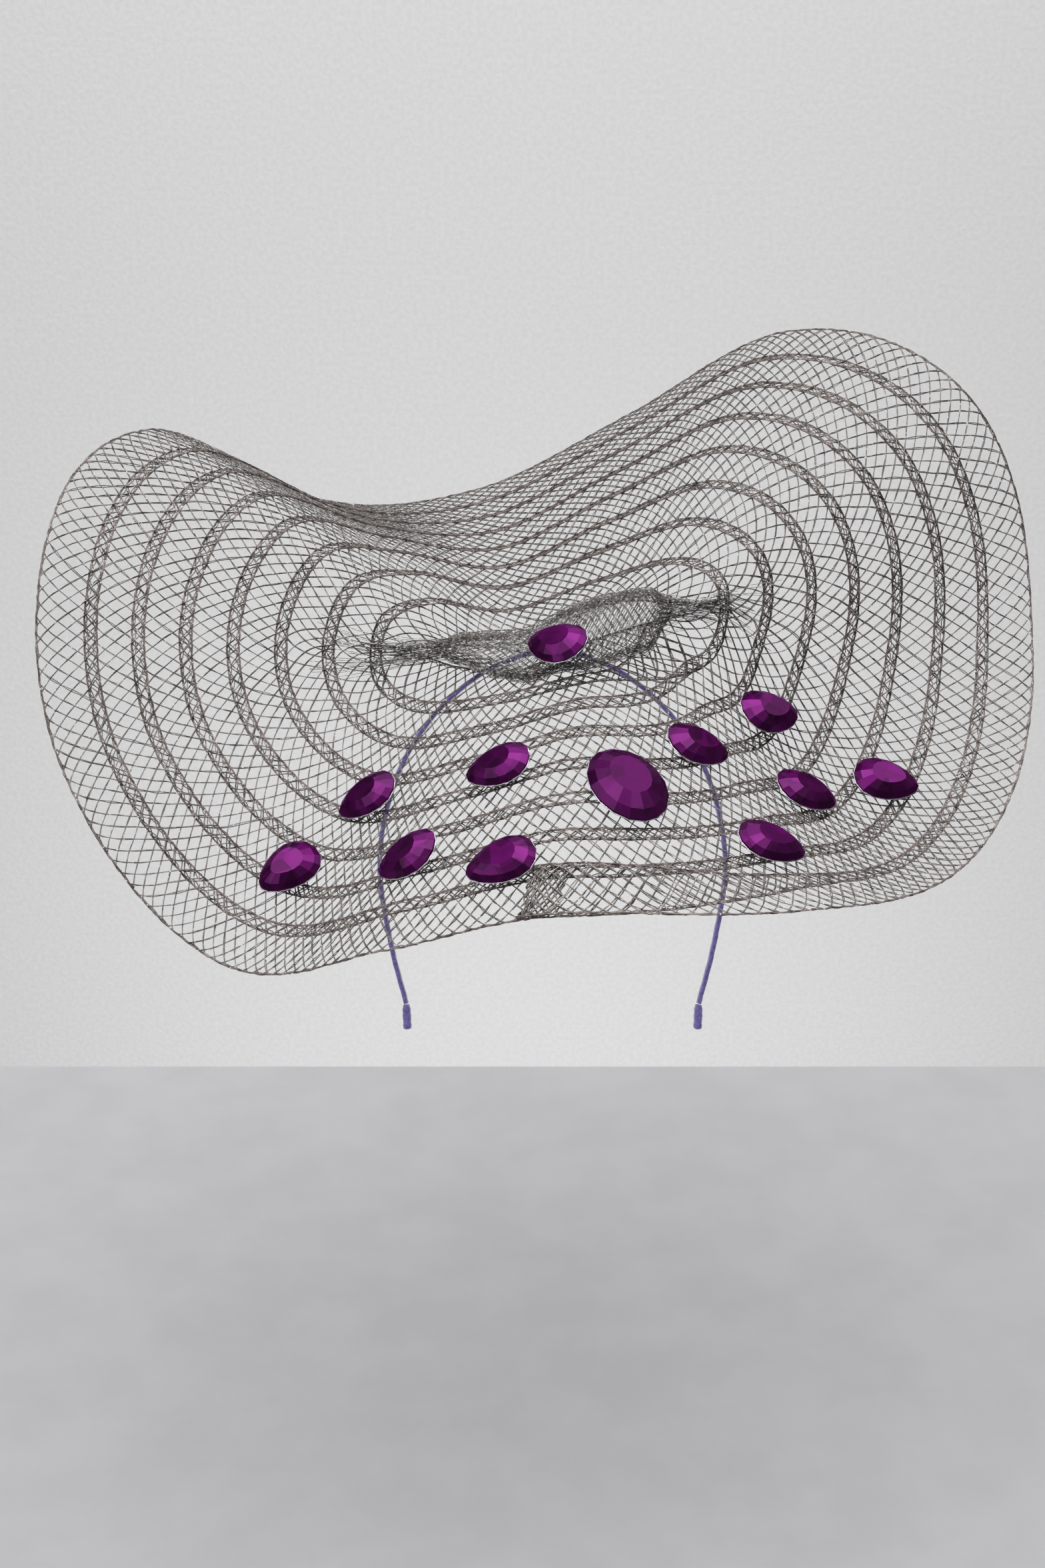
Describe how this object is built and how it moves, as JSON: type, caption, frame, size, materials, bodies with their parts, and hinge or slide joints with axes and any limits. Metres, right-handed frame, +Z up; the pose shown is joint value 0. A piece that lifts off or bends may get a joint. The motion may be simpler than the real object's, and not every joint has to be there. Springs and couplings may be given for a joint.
{
  "type": "fascinator",
  "caption": "Wide saucer fascinator: one openwork tubular braid wound in lapped turns into a waved brim round a gathered knot, set with faceted stones, on a narrow alice band.",
  "frame": {"origin": "the underside of the alice band's crown, where the band sits on top of the head", "axes": "+X to the viewer's right, along the long way of the brim; -Y to the front, where the brim dips; +Z up, as it is worn"},
  "size_m": [0.4067, 0.3398, 0.2616],
  "materials": {
    "crin": "open metallic monofilament braid",
    "crin_gathered": "dense gathered metallic braid",
    "band_ribbon": "satin ribbon",
    "band_end": "folded satin ribbon",
    "stone": "polished facets"
  },
  "bodies": {
    "root": {"crin_spiral": "crin", "gathered_knot": "crin_gathered", "headband": "band_ribbon", "band_tip_left": "band_end", "band_tip_right": "band_end", "gem_oval": "stone", "gem_knot": "stone", "gem_pear_01": "stone", "gem_pear_02": "stone", "gem_pear_03": "stone", "gem_pear_04": "stone", "gem_pear_05": "stone", "gem_pear_06": "stone", "gem_pear_07": "stone", "gem_pear_08": "stone", "gem_pear_09": "stone", "gem_pear_10": "stone"}
  },
  "joints": []
}
